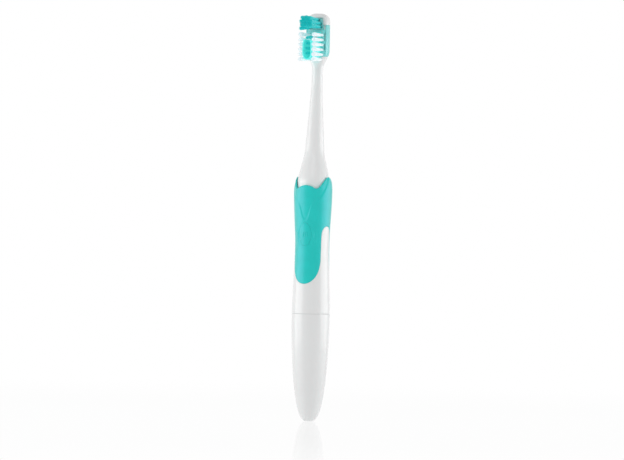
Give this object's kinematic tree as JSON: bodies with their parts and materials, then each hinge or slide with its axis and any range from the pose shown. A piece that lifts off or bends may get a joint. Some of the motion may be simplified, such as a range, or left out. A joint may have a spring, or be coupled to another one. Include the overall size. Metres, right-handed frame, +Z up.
{
  "type": "electric toothbrush",
  "caption": "Slim battery toothbrush with a tapered handle, wavy soft grip, oval button, pull-off vibrating head with long tip bristles, and a screw-off battery cap.",
  "frame": {"origin": "centre of the small flat at the tip of the battery cap", "axes": "+Z up along the handle towards the head, -Y the front, where the bristles and the button face, and +X to the right of someone who looks at the front"},
  "size_m": [0.0212, 0.0252, 0.225],
  "materials": {
    "casing_white": "glossy white moulding",
    "inner_white": "plain white moulding",
    "grip_teal": "satin soft-touch moulding",
    "cup_teal": "satin soft moulding",
    "mould_teal": "clear tinted moulding",
    "bristle_white": "white filament",
    "bristle_teal": "teal filament",
    "seal_black": "moulded rubber",
    "chassis_grey": "plain moulding",
    "board_green": "solder mask",
    "moulded_black": "black moulding",
    "lead_red": "wire insulation",
    "capacitor_blue": "printed film",
    "contact_nickel": "nickel plated strip",
    "motor_steel": "drawn steel",
    "bell_cream": "plain moulding",
    "magnet_grey": "sintered ferrite",
    "terminal_brass": "stamped brass",
    "winding_copper": "enamelled copper",
    "film_dark": "shrink film"
  },
  "bodies": {
    "handle": {"handle_shell": "casing_white", "soft_grip": "grip_teal", "drive_post": "inner_white", "neck_seal": "seal_black", "battery_collar": "inner_white", "cap_seal": "seal_black", "positive_contact": "contact_nickel", "collar_contact": "contact_nickel", "circuit_board": "board_green", "driver_chip": "moulded_black", "filter_capacitor": "capacitor_blue", "switch_body": "moulded_black", "chassis": "chassis_grey", "motor_can": "motor_steel", "motor_end_bell": "bell_cream", "front_bushing": "terminal_brass", "motor_sleeve": "seal_black", "motor_magnet_right": "magnet_grey", "motor_terminal_right": "terminal_brass", "motor_magnet_left": "magnet_grey", "motor_terminal_left": "terminal_brass", "motor_lead_red": "lead_red", "motor_lead_black": "moulded_black"},
    "button": {"power_button": "grip_teal", "switch_stem": "moulded_black"},
    "rotor": {"motor_shaft": "motor_steel", "commutator": "winding_copper", "armature": "winding_copper", "eccentric_weight": "motor_steel"},
    "battery": {"battery_can": "motor_steel", "battery_film": "film_dark", "battery_nub": "motor_steel"},
    "cap": {"battery_cap": "casing_white", "cap_liner": "inner_white", "negative_contact": "contact_nickel", "battery_spring": "motor_steel"},
    "head": {"neck_shell": "casing_white", "head_overmould": "mould_teal", "outer_bristles": "bristle_white", "inner_bristles": "bristle_teal", "tip_bristles": "bristle_teal", "polishing_cup": "cup_teal"}
  },
  "joints": [
    {"name": "head_pull", "type": "slide", "parent": "handle", "child": "head", "axis": [0, 0, 1], "range_m": [0, 0.03]},
    {"name": "button_press", "type": "slide", "parent": "handle", "child": "button", "axis": [0, 1, 0], "range_m": [0, 0.0005], "stiffness_N_per_m": 600},
    {"name": "rotor_spin", "type": "hinge", "parent": "handle", "child": "rotor", "pos_m": [0, 0, 0.1226], "axis": [0, 0, 1], "continuous": true},
    {"name": "battery_slide", "type": "slide", "parent": "handle", "child": "battery", "axis": [0, 0, -1], "range_m": [0, 0.024]},
    {"name": "cap_twist", "type": "hinge", "parent": "battery", "child": "cap", "pos_m": [0, 0, 0.0591], "axis": [0, 0, 1], "range_deg": [0, 361]}
  ],
  "couplings": [
    {"joint": "cap_twist", "follows": "battery_slide", "rad_per_m": 261.8}
  ]
}
